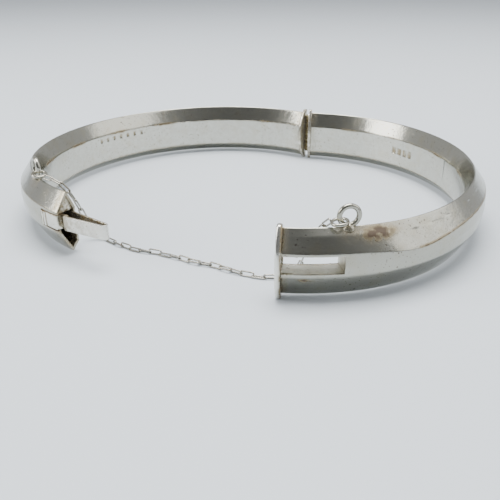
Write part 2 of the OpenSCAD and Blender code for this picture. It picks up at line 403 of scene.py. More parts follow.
STAIN = (0.30, 0.25, 0.16, 1)

class Nodes:
    """Short calls for a material's node tree."""

    def __init__(self, name):
        self.material = bpy.data.materials.new(name)
        self.material.use_nodes = True
        self.tree = self.material.node_tree
        self.shader = self.tree.nodes["Principled BSDF"]
        self.place = self.add("ShaderNodeTexCoord").outputs["Object"]

    def add(self, kind, inputs=(), **settings):
        node = self.tree.nodes.new(kind)
        for key, value in settings.items():
            setattr(node, key, value)
        for key, value in dict(inputs).items():
            self.put(node.inputs[key], value)
        return node

    def put(self, socket, value):
        if isinstance(value, bpy.types.NodeSocket):
            self.tree.links.new(value, socket)
        else:
            socket.default_value = value

    def math(self, operation, a, b=0.0, c=0.0, clamp=False):
        node = self.add("ShaderNodeMath", {0: a, 1: b, 2: c}, operation=operation, use_clamp=clamp)
        return node.outputs[0]

    def noise(self, size, detail=4.0, stretch=(1, 1, 1), roughness=0.5, seed=0.0, distortion=0.0):
        """Noise with features of about this size in metres."""
        scaled = self.add(
            "ShaderNodeMapping", {"Vector": self.place, "Scale": stretch, "Location": (seed, seed, seed)}
        )
        return self.add("ShaderNodeTexNoise", {
            "Vector": scaled.outputs[0],
            "Scale": 1 / size,
            "Detail": detail,
            "Roughness": roughness,
            "Distortion": distortion,
        }).outputs["Fac"]

    def ramp(self, value, low, high, to_low=0.0, to_high=1.0):
        return self.add("ShaderNodeMapRange", {
            "Value": value, "From Min": low, "From Max": high, "To Min": to_low, "To Max": to_high,
        }, interpolation_type="SMOOTHSTEP").outputs[0]

    def mix(self, amount, a, b):
        node = self.add("ShaderNodeMix", data_type="RGBA")
        self.put(node.inputs[0], amount)
        self.put(node.inputs[6], a)
        self.put(node.inputs[7], b)
        return node.outputs[2]

    def hairlines(self, size, width, seed, stretch=(1, 1, 1)):
        """Thin wandering lines, where smooth noise crosses its middle."""
        field = self.noise(size, 1.0, stretch, 0.4, seed, 0.3)
        away = self.math("ABSOLUTE", self.math("SUBTRACT", field, 0.5))
        return self.ramp(away, 0.0, width, 1.0, 0.0)

    def pits(self, size, radius, share, seed):
        """Small round pits, in this share of the cells."""
        moved = self.add("ShaderNodeMapping", {"Vector": self.place, "Location": (seed, seed, seed)})
        cells = self.add("ShaderNodeTexVoronoi", {"Vector": moved.outputs[0], "Scale": 1 / size})
        chosen = self.math("LESS_THAN", cells.outputs["Color"], share)
        round_pit = self.ramp(cells.outputs["Distance"], radius * 0.5, radius, 1.0, 0.0)
        return self.math("MULTIPLY", chosen, round_pit)


def silver(name, clean, dark, wear=1.0, shine=0.17, streak=(1, 1, 0.35)):
    """Worn silver, softly mottled and speckled. Where it is painted, the tarnish and the painted shade in
    gaps and creases run from olive to brown.
    """
    n = Nodes(name)
    painted = n.add("ShaderNodeAttribute", attribute_name="tarnish_and_shade").outputs["Fac"]
    cloud = n.noise(2.2 * MM, 5.0, seed=3.1)
    mottle = n.noise(0.7 * MM, 4.0, seed=6.2)
    fine = n.noise(0.25 * MM, 3.0, seed=7.7)
    broken = n.ramp(n.noise(0.9 * MM, 5.0, seed=1.3), 0.3, 0.62)
    stain_and_shade = n.math("MULTIPLY", painted, n.math("MULTIPLY_ADD", broken, 0.7, 0.3), clamp=True)
    haze = n.math("MULTIPLY", n.ramp(cloud, 0.46, 0.72), 0.3)
    scratches = n.math("MAXIMUM", n.hairlines(0.8 * MM, 0.004, 2.0, streak),
                       n.hairlines(0.45 * MM, 0.005, 5.0))
    scratches = n.math("MULTIPLY", scratches, n.ramp(mottle, 0.45, 0.62))
    clusters = n.ramp(n.noise(6 * MM, 2.0, seed=2.6), 0.42, 0.6)
    pits = n.math("MAXIMUM", n.pits(0.9 * MM, 0.19, 0.52, 0.2), n.pits(0.4 * MM, 0.26, 0.5, 0.9))
    pits = n.math("MULTIPLY", pits, n.math("MULTIPLY_ADD", clusters, 0.65, 0.35))
    tone = n.mix(haze, clean, warmer(clean))
    tone = n.mix(n.math("MULTIPLY", stain_and_shade, 2.5, clamp=True), tone, STAIN)
    tone = n.mix(n.math("MULTIPLY_ADD", stain_and_shade, 2.5, -0.9, clamp=True), tone, dark)
    tone = n.mix(n.math("MULTIPLY", pits, 0.8), tone, dark)
    n.put(n.shader.inputs["Base Color"], tone)
    n.put(n.shader.inputs["Metallic"], n.math("MULTIPLY_ADD", stain_and_shade, -0.8, 1.0))
    rough = n.math("MULTIPLY_ADD", cloud, 0.16, shine - 0.07)
    rough = n.math("MULTIPLY_ADD", scratches, 0.06 * wear, rough)
    rough = n.math("MULTIPLY_ADD", stain_and_shade, 0.3, rough, clamp=True)
    n.put(n.shader.inputs["Roughness"], rough)
    height = n.math("MULTIPLY_ADD", scratches, -0.06 * wear, n.math("MULTIPLY", cloud, 1.2))
    height = n.math("MULTIPLY_ADD", mottle, 0.35, height)
    height = n.math("MULTIPLY_ADD", pits, -0.25, height)
    height = n.math("MULTIPLY_ADD", fine, 0.08, height)
    height = n.math("MULTIPLY_ADD", n.math("MULTIPLY", stain_and_shade, fine), 0.8, height)
    bump = n.add("ShaderNodeBump", {"Height": height, "Strength": 1.0, "Distance": 0.03 * MM})
    n.put(n.shader.inputs["Normal"], bump.outputs[0])
    return n.material


def warmer(colour):
    """The same metal under a thin yellow stain."""
    r, g, b, a = colour
    return (r * 0.92, g * 0.84, b * 0.66, a)


def solder(name, light, dark):
    """Lumpy tarnished solder."""
    n = Nodes(name)
    lumps = n.noise(0.45 * MM, 4.0, seed=4.4)
    fine = n.noise(0.12 * MM, 3.0, seed=8.8)
    n.put(n.shader.inputs["Base Color"], n.mix(n.ramp(lumps, 0.38, 0.62), dark, light))
    n.shader.inputs["Metallic"].default_value = 1.0
    n.put(n.shader.inputs["Roughness"], n.math("MULTIPLY_ADD", fine, 0.3, 0.28))
    height = n.math("MULTIPLY_ADD", fine, 0.35, lumps)
    bump = n.add("ShaderNodeBump", {"Height": height, "Strength": 1.0, "Distance": 0.06 * MM})
    n.put(n.shader.inputs["Normal"], bump.outputs[0])
    return n.material


def plain(name, colour):
    """The matt floor, the same all over."""
    n = Nodes(name)
    n.shader.inputs["Base Color"].default_value = colour
    n.shader.inputs["Roughness"].default_value = 0.6
    return n.material


# ---- the chain ----

CHAIN_ROUTE = [
    Vector(p) * MM
    for p in [
        (-37.47, -19.4, 10.75), (-35.4, -20.2, 10.5), (-33.9, -20.2, 9.2), (-33.0, -19.5, 7.0),
        (-32.2, -18.9, 4.4), (-31.4, -18.3, 1.9), (-29.9, -18.0, 0.7),
        (-28, -19, 0.5), (-25.5, -20.5, 0.5), (-23, -21.5, 0.5), (-20.5, -22, 0.5), (-18, -22.5, 0.5),
        (-15.5, -23.5, 0.5), (-13, -24.5, 0.5), (-10.5, -25, 0.5), (-8, -26, 0.5), (-5.5, -27, 0.5),
        (-3, -27.5, 0.5), (-1, -27.5, 0.5), (0.5, -27, 0.5),
        (1.6, -25.8, 0.6),
        (2.5, -25.7, 1.0), (3.0, -26.4, 2.4), (3.6, -27.2, 4.3), (4.5, -28.2, 6.6),
        (5.4, -29.5, 9.1), (6.51, -30.98, 10.75),
    ]
]
LINK_WIRE = 0.25 * MM
LINK_PITCH = 1.8 * MM
LINK_CORNER = 0.27 * MM
END_REACH = 0.6 * MM               # the end links go on round the jump rings


def curved(points, step=0.1 * MM):
    """Points close together on the smooth curve through the route's points."""
    ends = [2 * points[0] - points[1], *points, 2 * points[-1] - points[-2]]
    line = []
    for a, b, c, d in zip(ends, ends[1:], ends[2:], ends[3:]):
        count = max(2, ceil((c - b).length / step))
        for k in range(count):
            t = k / count
            line.append(0.5 * (2 * b + (c - a) * t + (2 * a - 5 * b + 4 * c - d) * t * t
                               + (3 * b - a - 3 * c + d) * t ** 3))
    return line + [points[-1]]


def along(line, distance):
    """The point this far along a line of close points. Beyond its ends it runs straight on."""
    run = 0.0
    for a, b in zip(line, line[1:]):
        step = (b - a).length
        if run + step >= distance:
            return a.lerp(b, (distance - run) / step)
        run += step
    return line[-1] + (line[-1] - line[-2]).normalized() * (distance - run)


def link(centre, forward, flat, pitch):
    """Rows of points round a long wire link that lies along forward, with its width along flat."""
    half_length = (pitch + LINK_WIRE) / 2 - LINK_CORNER
    half_width = (CHAIN_W - LINK_WIRE) / 2 - LINK_CORNER
    normal = forward.cross(flat).normalized()
    rows = []
    for i in range(24):
        a = 2 * pi * (i + 0.5) / 24
        out = forward * cos(a) + flat * sin(a)
        corner = forward * copysign(half_length, cos(a)) + flat * copysign(half_width, sin(a))
        rows.append([
            centre + corner + LINK_CORNER * out
            + LINK_WIRE / 2 * (cos(2 * pi * j / 10) * out + sin(2 * pi * j / 10) * normal)
            for j in range(10)
        ])
    return rows


def on_the_floor(rows):
    """A link that is near the floor, laid on it."""
    lowest = min(p.z for row in rows for p in row)
    if lowest > 0.35 * MM:
        return rows
    drop = Vector((0, 0, 0.02 * MM - lowest))
    return [[p + drop for p in row] for row in rows]


def make_chain(material):
    line = curved(CHAIN_ROUTE)
    length = sum((b - a).length for a, b in zip(line, line[1:]))
    count = round((length + 2 * END_REACH) / LINK_PITCH)
    pitch = (length + 2 * END_REACH) / count
    points, faces = [], []
    for i in range(count):
        back, front = along(line, i * pitch - END_REACH), along(line, (i + 1) * pitch - END_REACH)
        forward = (front - back).normalized()
        side = forward.cross(Vector((0, 0.05, 1))).normalized()
        roll = pi / 4 + radians(118) * i + 0.3 * wobble((i, 0, 0), 1.7)
        flat = Matrix.Rotation(roll, 3, forward) @ side
        start = len(points)
        rows = on_the_floor(link((back + front) / 2, forward, flat, pitch))
        points += [p for row in rows for p in row]
        faces += [
            tuple(start + r % 24 * 10 + c % 10 for r, c in ((a, b), (a, b + 1), (a + 1, b + 1), (a + 1, b)))
            for a in range(24)
            for b in range(10)
        ]
    chain = mesh_from("safety_chain_links", points, faces)
    face_outward(chain)
    chain.data.shade_smooth()
    chain.data.materials.append(material)
    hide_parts("safety_chain")
    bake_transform(chain)


# ---- the band ----

def crease(s, half):
    """Height of the outer face's upper crease. The catch half's dips where it was bent."""
    if half == "tongue":
        return CREASE
    dip = exp(-(((s - 19 * MM) / (6 * MM)) ** 2))
    lift = smoothstep(26 * MM, 40 * MM, s) * 0.3 * MM
    return CREASE - 0.95 * MM * dip + lift


def crown(s, half):
    """How far the upper bevel of the catch half is domed, beside its eye."""
    if half == "tongue":
        return 0.0
    return 0.3 * MM * smoothstep(1 * MM, 7 * MM, s) * smoothstep(18 * MM, 12 * MM, s)


def seam(s, half):
    """Height of the joint between the lining and the upper inner bevel."""
    ripple = 0.16 if half == "catch" else 0.05
    return SEAM_TOP + ripple * MM * wobble((s, 0, 0), 3.5 * MM, 2.0 if half == "catch" else 6.0)


STEPS = 5                          # parts of each corner's arc
PARTS = 8                          # parts of each stretch between two corners
WINDOW_LOW, WINDOW_HIGH = MIDDLE - MOUTH_H / 2, MIDDLE + MOUTH_H / 2


def inset(corners, depth):
    """An open line of corners moved to its right-hand side."""
    points = [Vector(corner) for corner in corners]
    ways = [(b - a).normalized() for a, b in zip(points, points[1:])]
    right = [Vector((way.y, -way.x)) for way in ways]
    made = [points[0] + depth * right[0]]
    made += [p + depth * (a + b) / (1 + a.dot(b)) for p, a, b in zip(points[1:], right, right[1:])]
    return made + [points[-1] + depth * right[-1]]


def profile_line(corners, radii):
    """The line through the rounded corners, with a point at the window's upper and lower edge."""
    line = rounded(corners, radii, closed=False, steps=STEPS)
    made = []
    for i, (a, b) in enumerate(zip(line, line[1:])):
        if i % (STEPS + 1):
            made.append(a)
            continue
        shares = [k / PARTS for k in range(PARTS)]
        for height in (WINDOW_LOW, WINDOW_HIGH):
            share = (a.y - height) / (a.y - b.y) if a.x > BULGE_OUT / 2 and b.x > BULGE_OUT / 2 else 0
            if 0 < share < 1:
                nearest = max(1, min(PARTS - 1, round(share * PARTS)))
                shares[nearest] = share
        made += [a.lerp(b, share) for share in shares]
    return made + [line[-1]]


def shell_profile(s, half):
    """The outer line of the shell's section and the inner one, with as many points each."""
    ridge = crease(s, half)
    dome = crown(s, half)
    blurred = dome / (0.3 * MM)
    corners = [
        (-BULGE_IN, seam(s, half) + 0.02 * MM),
        (0, BAND_H),
        (0.38 * BULGE_OUT + 0.82 * dome, BAND_H - 0.38 * (BAND_H - ridge) + 0.57 * dome),
        (BULGE_OUT, ridge),
        (BULGE_OUT + BELLY, min(MIDDLE, ridge - 0.5 * MM)),
        (BULGE_OUT, LOWER_CREASE),
        (0, 0),
        (-BULGE_IN, SEAM_LOW - 0.02 * MM),
    ]
    upper, lower = (0.3 + 1.0 * blurred) * MM, (0.5 + 0.6 * blurred) * MM
    outer = profile_line(corners, [0, 0.16 * MM, 1.5 * MM, upper, 1 * MM, lower, 0.16 * MM, 0])
    inner_radii = [0, 0.06 * MM, 1.3 * MM, 0.2 * MM, 0.8 * MM, 0.3 * MM, 0.06 * MM, 0]
    inner = profile_line(inset(corners, SHEET), inner_radii)
    return outer, inner


def lining_profile(s, half):
    top = seam(s, half)
    heights = [SEAM_LOW + (top - SEAM_LOW) * k / 32 for k in range(33)]
    for edge in (WINDOW_LOW, WINDOW_HIGH):
        nearest = min(range(33), key=lambda k: abs(heights[k] - edge))
        heights[nearest] = edge
    return [Vector((-BULGE_IN, z)) for z in heights], [Vector((-BULGE_IN + SHEET, z)) for z in heights]


def sheet_round(name, profile, places, hole=None):
    """A sheet with two faces carried round the band, left open where hole(s, u, z) is true."""
    fronts, backs = zip(*[profile(s) for s in places])
    height, width = len(places), len(fronts[0])
    points = [on_band(s, u, z) for rows in (fronts, backs) for s, row in zip(places, rows) for u, z in row]

    def kept(i, j):
        if not (0 <= i < height - 1 and 0 <= j < width - 1):
            return False
        if hole is None:
            return True
        u, z = (fronts[i][j] + fronts[i + 1][j + 1]) / 2
        return not hole((places[i] + places[i + 1]) / 2, u, z)

    back = height * width
    faces = []
    for i in range(height - 1):
        for j in range(width - 1):
            if not kept(i, j):
                continue
            a, b, c, d = i * width + j, i * width + j + 1, (i + 1) * width + j + 1, (i + 1) * width + j
            faces += [(a, b, c, d), (back + d, back + c, back + b, back + a)]
            sides = (((a, b), (i - 1, j)), ((b, c), (i, j + 1)), ((c, d), (i + 1, j)), ((d, a), (i, j - 1)))
            for (p, q), beside in sides:
                if not kept(*beside):
                    faces.append((q, p, back + p, back + q))
    return mesh_from(name, points, faces)


def band_places(half, step, opening):
    """Where the band's rows stand, one of them at the end of the clasp's opening."""
    first = s_at(GAP / 2 + (MOUTH_PLATE if half == "catch" else 0.0))
    last = s_at(GAP / 2 + HINGE_PLATE, side=1)
    edge = s_at(opening)
    return stations(first, edge, step)[:-1] + stations(edge, last, step)


def depth_in_section(u, z, ridge):
    """How far a point lies inside the band's section."""
    corners = [(0, BAND_H), (BULGE_OUT, ridge), (BULGE_OUT, LOWER_CREASE), (0, 0),
               (-BULGE_IN, SEAM_LOW), (-BULGE_IN, SEAM_TOP)]
    nearest = 1.0
    for (a, b), (c, d) in zip(corners, corners[1:] + corners[:1]):
        length = hypot(c - a, d - b)
        nearest = min(nearest, ((b - z) * (c - a) - (a - u) * (d - b)) / length)
    return nearest


def patchy(s):
    return smoothstep(-0.15, 0.45, wobble((s, 0, 0), 6 * MM, 3.0))


def spot(s, z, at, height, length, width):
    return exp(-(((s - at) / length) ** 2) - ((z - height) / width) ** 2)


def shell_tarnish_and_shade(half):
    def amount(s, u, z):
        ridge = crease(s, half)
        # Painted shade: the tongue's notch edges are painted fully dark, so that dark gap lines show round
        # the thumb piece.
        at_notch = min(abs(z - WINDOW_LOW), abs(z - WINDOW_HIGH)) < 0.01 * MM
        if half == "tongue" and at_notch and u > 1 * MM and s < s_at(NOTCH, u) + 0.1 * MM:
            return 1.0
        if depth_in_section(u, z, ridge) > 0.25 * MM:
            return 0.4
        near_seam = near_low = line = smudge = 0.0
        if u < -BULGE_IN / 2:
            near_seam = 0.75 * patchy(s) * exp(-(((z - seam(s, half)) / (0.2 * MM)) ** 2))
            near_low = 0.2 * exp(-(((z - SEAM_LOW) / (0.2 * MM)) ** 2))
        # Painted shade: a dark line along the outer upper crease, full on the catch half from about 20 mm
        # round, at 0.3 on the tongue half.
        if u > BULGE_OUT * 0.9:
            line = 0.95 * exp(-(((z - ridge) / (0.09 * MM)) ** 2))
            line *= smoothstep(18 * MM, 20.5 * MM, s) if half == "catch" else 0.3
        if u > 0 and half == "catch":
            smudge = 1.2 * spot(s, z, 13.2 * MM, 8.9 * MM, 2.4 * MM, 0.8 * MM)
            smudge = max(smudge, 1.1 * spot(s, z, 3.8 * MM, 3 * MM, 0.7 * MM, 0.25 * MM))
        eye = hypot(s - s_at(9.2 * MM), z - BAND_H)
        solder_stain = 0.25 * smoothstep(2.6 * MM, 0.9 * MM, eye)
        mouth = 0.3 * smoothstep(1.8 * MM, 0.9 * MM, s)
        hinge = 0.2 * smoothstep(2.5 * MM, 1.0 * MM, HALF_ROUND - s)
        return max(near_seam, near_low, line, smudge, solder_stain, mouth, hinge)
    return amount


def lining_tarnish(half):
    def amount(s, u, z):
        if u > -BULGE_IN + 0.3 * MM:
            return 0.4
        top = 0.8 * patchy(s) * exp(-(((z - seam(s, half)) / (0.22 * MM)) ** 2))
        low = 0.25 * exp(-(((z - SEAM_LOW) / (0.3 * MM)) ** 2))
        hinge = 0.15 * smoothstep(3 * MM, 1 * MM, HALF_ROUND - s)
        return max(top, low, hinge, 0.45 * punched(half, s, z), 0.05)
    return amount


def rub(piece, depth, size, seed):
    """Hand-made unevenness: presses the outward faces in a little, never out."""
    for v in piece.data.vertices:
        s, u, z = unroll(v.co)
        _, out = station(s)
        press = depth * (0.5 + 0.5 * wobble((s, z * 0.5, 0), size, seed))
        sign = -1 if u > 0 else 1
        v.co.x += sign * press * out.x
        v.co.y += sign * press * out.y


def clear_the_knuckles(piece):
    """Ends the band in a hollow round the hinge's knuckles."""
    for v in piece.data.vertices:
        away = v.co.y - PIN.y
        if abs(away) < RELIEF_R and v.co.x < 3 * MM:
            v.co.x = max(v.co.x, sqrt(RELIEF_R ** 2 - away ** 2))


def make_shell(half, material):
    opening = WINDOW_END if half == "catch" else NOTCH
    deepest = -4 * MM if half == "catch" else 0.2 * MM

    def hole(s, u, z):
        return s < s_at(opening) and u > deepest and WINDOW_LOW < z < WINDOW_HIGH

    piece = sheet_round(half + "_band_shell", lambda s: shell_profile(s, half),
                        band_places(half, 0.5 * MM, opening), hole)
    rub(piece, 0.05 * MM, 5 * MM, 11.0 if half == "catch" else 15.0)
    clear_the_knuckles(piece)
    soften(piece, 0.05 * MM, 2, 50)
    paint(piece, shell_tarnish_and_shade(half))
    place, body = (CATCH, "catch_half") if half == "catch" else (TONGUE, "tongue_half")
    return settle(piece, place, material, body, "silver", half + "_shell", crisp=32)


def make_lining(half, material):
    opening = WINDOW_END if half == "catch" else NOTCH

    def hole(s, u, z):
        return half == "catch" and s < s_at(opening) and WINDOW_LOW < z < WINDOW_HIGH

    piece = sheet_round(half + "_band_lining", lambda s: lining_profile(s, half),
                        band_places(half, 0.2 * MM, opening), hole)
    punch(piece, half)
    soften(piece, 0.05 * MM, 2, 50)
    paint(piece, lining_tarnish(half))
    place, body = (CATCH, "catch_half") if half == "catch" else (TONGUE, "tongue_half")
    return settle(piece, place, material, body, "silver_inner", half + "_lining", crisp=50)


def punched(half, s, z):
    """How far a point of the lining lies inside one of its blank punch marks, from 0 to 1."""
    if half == "catch":
        marks = [(END_LENGTH + SIDE_LENGTH + (radians(38 + 3 * i) - SIDE_TURN) * END_R, 4.6 * MM, 1.3 * MM)
                 for i in range(4)]
    else:
        marks = [(END_LENGTH + (radians(3 * i - 4) + SIDE_TURN) * SIDE_R, 6 * MM, 0.7 * MM)
                 for i in range(7)]
    deepest = max(min(0.4 * size - abs(s - place), 0.5 * size - abs(z - height))
                  for place, height, size in marks)
    return smoothstep(-0.12 * MM, 0.12 * MM, deepest)


def punch(piece, half):
    """Presses in the blank marks, and on the catch half the lap where the lining was pieced together."""
    lap = END_LENGTH + SIDE_LENGTH * 0.74
    for v in piece.data.vertices:
        s, u, z = unroll(v.co)
        if u > -BULGE_IN + 0.1 * MM:
            continue
        press = 0.02 * MM * (0.5 + 0.5 * wobble((s, z, 0), 4 * MM, 21.0)) + 0.09 * MM * punched(half, s, z)
        if half == "catch":
            line = lap + 0.3 * MM * wobble((z, 0, 0), 2 * MM, 5.0)
            press += 0.07 * MM * smoothstep(line - 0.15 * MM, line + 0.15 * MM, s)
        _, out = station(s)
        v.co.x += press * out.x
        v.co.y += press * out.y


# ---- plates, hinge and clasp ----

def plate_outline(low=-LIFT, high=PLATE_TOP, steps=36):
    """The pointed oval with its ends cut off, as [u, z]."""
    heights = [low + (high - low) * i / steps for i in range(steps + 1)]
    half_widths = [sqrt(PLATE_R ** 2 - (z - BAND_H / 2) ** 2) - (PLATE_R - PLATE_HALF_W) for z in heights]
    right = [(PLATE_MID + w, z) for w, z in zip(half_widths, heights)]
    left = [(PLATE_MID - w, z) for w, z in zip(half_widths, heights)]
    return right + left[::-1]


def no_tarnish(s, u, z):
    return 0.0


def make_mouth_plate(material):
    plate = prism("mouth_end_plate", plate_outline(), across_clasp, GAP / 2, GAP / 2 + MOUTH_PLATE)
    soften(plate, 0.28 * MM, 4, 50)
    cut(plate, box("cutter", (-1 * MM, MOUTH_IN, WINDOW_LOW), (3 * MM, MOUTH_OUT, WINDOW_HIGH)))
    cut(plate, box("cutter", (GAP / 2 + LIP, MOUTH_IN, WINDOW_LOW), (3 * MM, POCKET_OUT, WINDOW_HIGH)))
    soften(plate, 0.06 * MM, 2, 60)
    paint(plate, lambda s, u, z: 0.5 * smoothstep(0.4 * MM, 0.75 * MM, s))
    settle(plate, CATCH, material, "catch_half", "silver", "mouth_plate")


def make_hinge_plates(material):
    for half, place in (("catch", CATCH), ("tongue", TONGUE)):
        outline = [(min(u, 0.62 * MM), z) for u, z in plate_outline()]
        plate = prism(half + "_hinge_end_plate", outline, across_hinge, GAP / 2, GAP / 2 + HINGE_PLATE)
        soften(plate, 0.1 * MM, 3, 50)
        paint(plate, lambda s, u, z: 0.3)
        settle(plate, place, material, half + "_half", "silver", half + "_hinge_plate")


def make_knuckles(material, pin_material):
    low = LIFT + BAND_H / 2 - KNUCKLES * KNUCKLE_L / 2
    edge = 0.13 * MM
    outline = rounded(
        [(0.34 * MM, 0.02 * MM), (KNUCKLE_R, 0.02 * MM), (KNUCKLE_R, KNUCKLE_L - 0.02 * MM),
         (0.34 * MM, KNUCKLE_L - 0.02 * MM)],
        [0, edge, edge, 0], closed=False,
    )
    for half, place, start in (("catch", CATCH, 0), ("tongue", TONGUE, 1)):
        made = []
        for i in range(start, KNUCKLES, 2):
            at = Matrix.Translation((0, PIN.y, low + i * KNUCKLE_L))
            barrel = lathe(f"{half}_knuckle_{i}", dense(outline, 0.2 * MM), at)
            seat = Vector((0.62 * MM, PIN.y - 0.55 * MM, low + (i + 0.5) * KNUCKLE_L))
            lump = solder_lump(f"{half}_solder_{i}", seat, Vector((0.42, 0.5, 0.72)) * MM, i + 0.5)
            made += [barrel, lump]
        whole = join(half + "_hinge_knuckles", made)
        paint(whole, no_tarnish)
        settle(whole, place, material, half + "_half", "hinge_metal", half + "_knuckles", crisp=60)
    head = 0.6 * MM
    stack = KNUCKLES * KNUCKLE_L
    dome = [(head * cos(radians(a)), stack + 0.3 * MM * sin(radians(a))) for a in range(0, 90, 12)]
    foot = [(head * cos(radians(a)), -0.3 * MM * sin(radians(a))) for a in range(84, -1, -12)]
    pin = lathe("hinge_pin_domed", [(0.02 * MM, -0.32 * MM), *foot, (0.3 * MM, 0), (0.3 * MM, stack), *dome,
                                    (0.02 * MM, stack + 0.32 * MM)], Matrix.Translation((0, PIN.y, low)))
    paint(pin, no_tarnish)
    settle(pin, CATCH, pin_material, "catch_half", "silver_dark", "hinge_pin")


def solder_lump(name, centre, size, seed):
    """A small uneven bead of solder."""
    shape = bmesh.new()
    bmesh.ops.create_icosphere(shape, subdivisions=4, radius=1.0)
    for v in shape.verts:
        v.co *= 1 + 0.22 * noise.noise(v.co * 1.6 + Vector((seed, 0, 0)))
        v.co = centre + Vector((v.co.x * size.x, v.co.y * size.y, v.co.z * size.z))
    mesh = bpy.data.meshes.new(name)
    shape.to_mesh(mesh)
    shape.free()
    return new_object(name, mesh)


def join(name, parts):
    """One mesh of several pieces."""
    shape = bmesh.new()
    for part in parts:
        shape.from_mesh(part.data)
        bpy.data.objects.remove(part)
    mesh = bpy.data.meshes.new(name)
    shape.to_mesh(mesh)
    shape.free()
    return new_object(name, mesh)


def make_box(material):
    """The box behind the mouth that the tongue slides into: floor, roof and end wall."""
    first, last = s_at(GAP / 2 + MOUTH_PLATE), s_at(WINDOW_END)
    inner, outer = -BULGE_IN + SHEET, BULGE_OUT - SHEET - 0.05 * MM
    for name, low in (("floor", WINDOW_LOW - WALL), ("roof", WINDOW_HIGH)):
        corners = [(inner, low), (outer, low), (outer, low + WALL), (inner, low + WALL)]
        sheet = sweep("clasp_box_" + name, lambda s: rounded(corners, [0.05 * MM] * 4, steps=2), first, last)
        paint(sheet, lambda s, u, z: 0.1)
        settle(sheet, CATCH, material, "catch_half", "silver_inner", "box_" + name)
    low, high = WINDOW_LOW - WALL, WINDOW_HIGH + WALL
    wall = sweep(
        "clasp_box_end", lambda s: rounded([(inner, low), (outer, low), (outer, high), (inner, high)],
                                           [0.05 * MM] * 4, steps=2),
        s_at(WINDOW_END), s_at(WINDOW_END + WALL), WALL / 4,
    )
    paint(wall, lambda s, u, z: 0.2)
    settle(wall, CATCH, material, "catch_half", "silver_dark", "box_end_wall")


def make_eye_and_ring(half, material):
    place = CATCH if half == "catch" else TONGUE
    eye = hoop(half + "_eye_hoop", 1.33 * MM, 0.36 * MM, EYE @ Matrix.Rotation(pi / 2, 4, "X"))
    foot = [
        (0.87 * MM, -0.5 * MM), (0.84 * MM, -0.3 * MM), (0.74 * MM, -0.1 * MM), (0.58 * MM, 0.1 * MM),
        (0.4 * MM, 0.24 * MM), (0.05 * MM, 0.28 * MM),
    ]
    mound = lathe(half + "_eye_foot", foot, EYE @ Matrix.Translation((0, 0, -EYE_LIFT)), 36)
    for v in mound.data.vertices:
        axis = EYE @ Vector((0, 0, 0))
        away = Vector((v.co.x - axis.x, v.co.y - axis.y, 0))
        v.co += away * 0.16 * wobble(v.co, 0.8 * MM, 3.0)
    whole = join(half + "_eye_soldered", [eye, mound])
    paint(whole, lambda s, u, z: 0.22 * smoothstep(BAND_H + 0.6 * MM, BAND_H, z) + 0.06)
    settle(whole, place, material, half + "_half", "silver", half + "_eye", crisp=60)
    ring = hoop(half + "_jump_ring_wire", 1.05 * MM, 0.225 * MM, RING @ Matrix.Rotation(2.2, 4, "Z"), 0.03)
    paint(ring, lambda s, u, z: 0.1)
    settle(ring, place, material, half + "_ring", "silver", half + "_jump_ring", crisp=60)


# ---- the tongue ----

FOLD = Vector((7.7 * MM, -0.3 * MM))
FOLD_R = 0.6 * MM
LEAF = 0.3 * MM
TONGUE_H = 2.3 * MM
SHOULDER = Vector((0.55 * MM, 1.5 * MM))
NECK_U = 1.1 * MM


def tongue_solid(name, outline, edge, tarnish_and_shade, material, body, *nodes):
    """A leaf of the tongue from its (x, u) outline. Its painting function of x and u gives how dark each
    point is painted, for tarnish and painted shade.
    """
    low = MIDDLE - TONGUE_H / 2
    piece = prism(name, [(-x, u) for x, u in outline], plan_of_clasp, low, low + TONGUE_H)
    soften(piece, edge, 3, 40)
    stain_and_shade_layer = piece.data.attributes.new("tarnish_and_shade", "FLOAT", "POINT")
    stain_and_shade_layer.data.foreach_set("value", [tarnish_and_shade(-v.co.x, -HALF_L - v.co.y) for v in piece.data.vertices])
    return settle(piece, TONGUE, material, body, "silver", *nodes)


